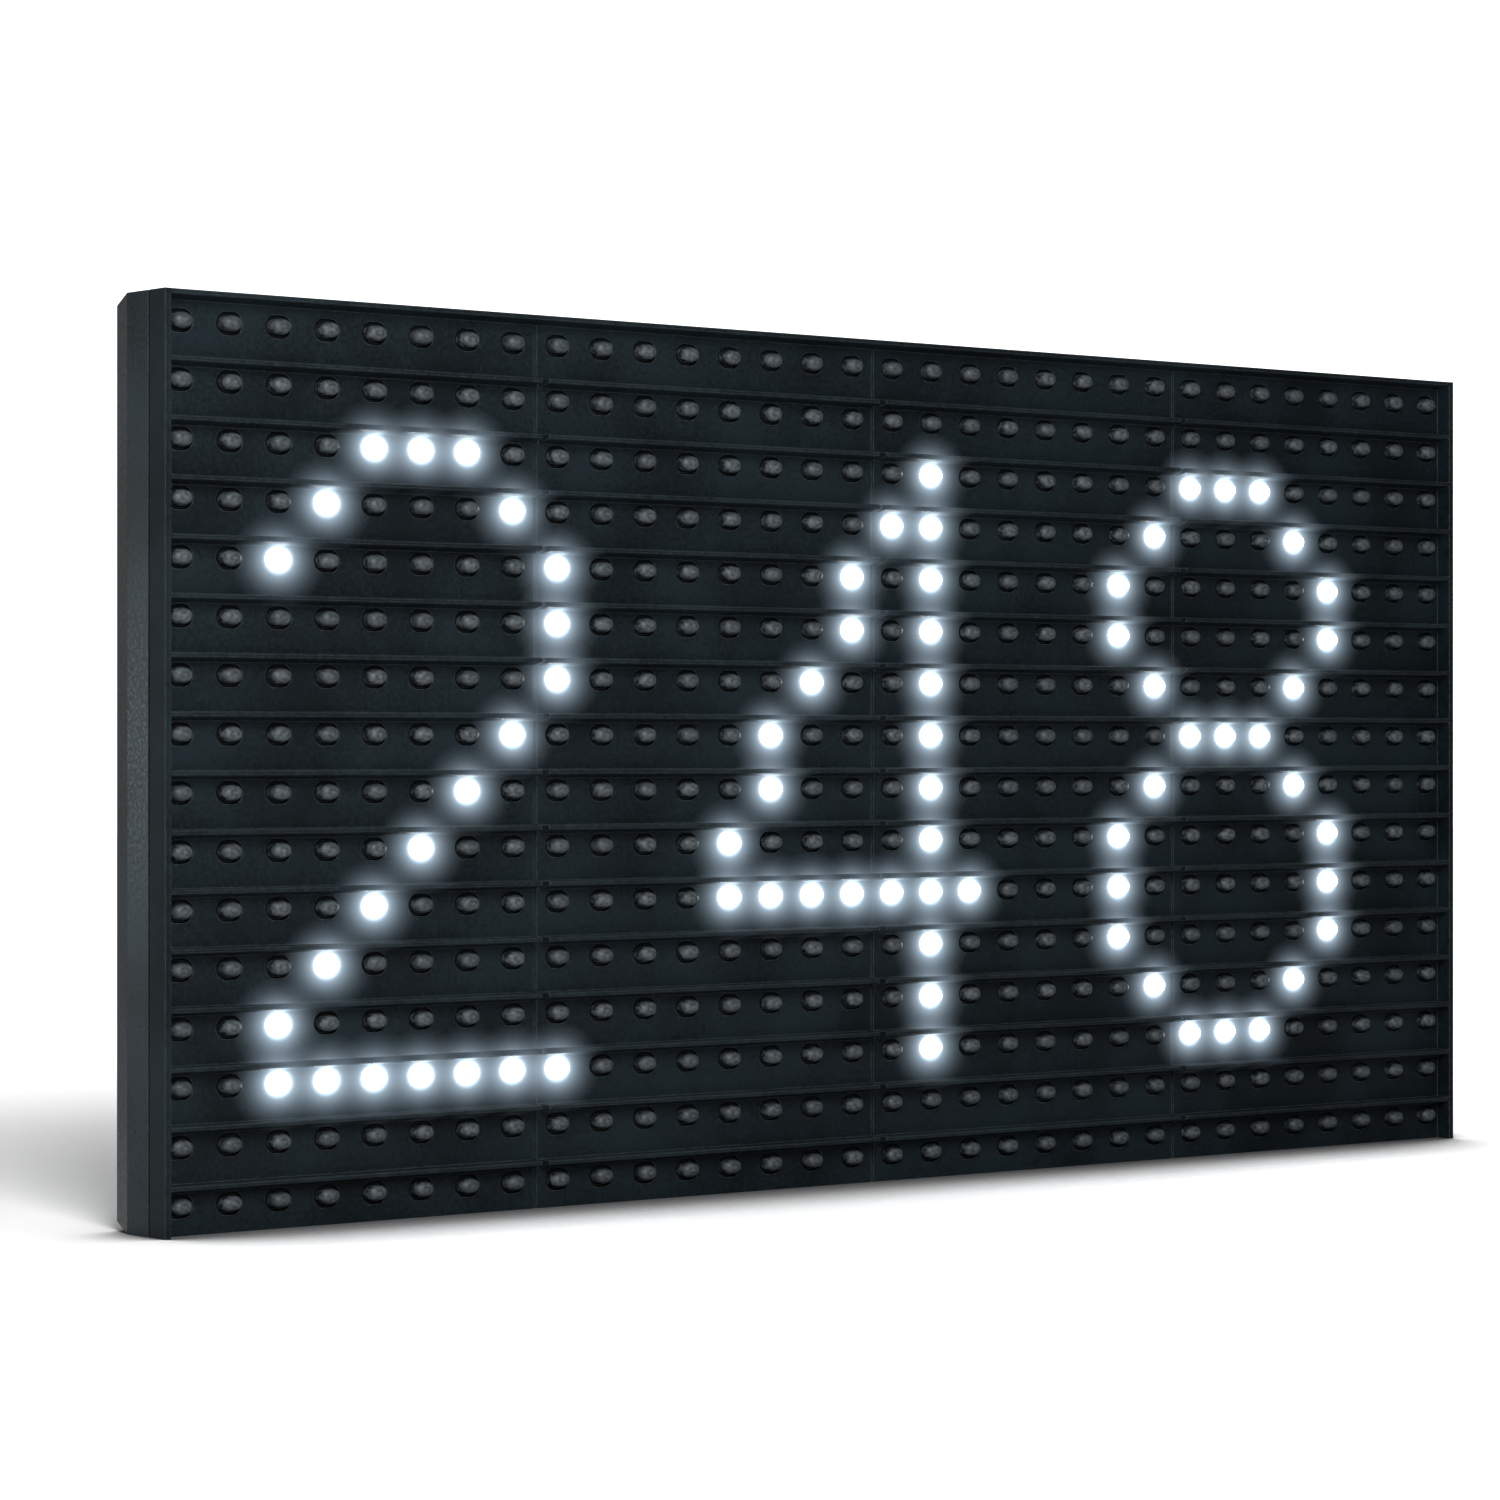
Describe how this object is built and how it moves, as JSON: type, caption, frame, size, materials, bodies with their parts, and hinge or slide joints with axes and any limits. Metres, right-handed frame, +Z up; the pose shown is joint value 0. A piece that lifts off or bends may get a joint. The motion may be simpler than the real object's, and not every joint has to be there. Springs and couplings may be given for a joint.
{
  "type": "led dot matrix display module",
  "caption": "Flat rectangular LED dot-matrix module: louvred black mask over a grid of oval LEDs on a board, ribbed open rear frame with headers, standing on its lower edge.",
  "frame": {"origin": "middle of the footprint, at the lower edge and halfway through the depth", "axes": "+X across the display, to the viewer's right; +Z up; the LEDs face -Y and the mounting side faces +Y"},
  "size_m": [0.32, 0.018, 0.16],
  "materials": {
    "mask_plastic": "fine-grained black polycarbonate",
    "frame_plastic": "fine-grained black polycarbonate",
    "board_green": "green solder mask on glass-fibre board",
    "lens_unlit": "clear epoxy over a dark cup",
    "lens_lit": "glowing cool white epoxy",
    "chip_black": "moulded epoxy with tinned leads",
    "capacitor_can": "bare drawn can",
    "resistor_film": "black film with tinned ends",
    "capacitor_ceramic": "tan ceramic with tinned ends",
    "header_black": "moulded nylon",
    "header_white": "natural nylon",
    "pin_gold": "gold flash",
    "pin_tin": "tinned",
    "screw_zinc": "bright zinc",
    "insert_brass": "knurled brass"
  },
  "bodies": {
    "root": {"louver_mask": "mask_plastic", "circuit_board": "board_green", "rear_frame": "frame_plastic", "lit_leds": "lens_lit", "led_row_01": "lens_unlit", "led_row_02": "lens_unlit", "led_row_03": "lens_unlit", "led_row_04": "lens_unlit", "led_row_05": "lens_unlit", "led_row_06": "lens_unlit", "led_row_07": "lens_unlit", "led_row_08": "lens_unlit", "led_row_09": "lens_unlit", "led_row_10": "lens_unlit", "led_row_11": "lens_unlit", "led_row_12": "lens_unlit", "led_row_13": "lens_unlit", "led_row_14": "lens_unlit", "led_row_15": "lens_unlit", "led_row_16": "lens_unlit", "driver_ic_01": "chip_black", "driver_ic_02": "chip_black", "driver_ic_03": "chip_black", "driver_ic_04": "chip_black", "driver_ic_05": "chip_black", "driver_ic_06": "chip_black", "driver_ic_07": "chip_black", "driver_ic_08": "chip_black", "driver_ic_09": "chip_black", "driver_ic_10": "chip_black", "driver_ic_11": "chip_black", "driver_ic_12": "chip_black", "driver_ic_13": "chip_black", "driver_ic_14": "chip_black", "driver_ic_15": "chip_black", "driver_ic_16": "chip_black", "row_switch_1": "chip_black", "row_switch_2": "chip_black", "row_switch_3": "chip_black", "row_switch_4": "chip_black", "signal_buffer_1": "chip_black", "signal_buffer_2": "chip_black", "bulk_capacitor_1": "capacitor_can", "bulk_capacitor_2": "capacitor_can", "row_decoder": "chip_black", "resistors": "resistor_film", "decoupling_capacitors": "capacitor_ceramic", "data_in_header": "header_black", "data_in_pins": "pin_gold", "data_out_header": "header_black", "data_out_pins": "pin_gold", "power_header": "header_white", "power_pins": "pin_tin", "mask_screws": "screw_zinc", "mount_inserts": "insert_brass"}
  },
  "joints": []
}
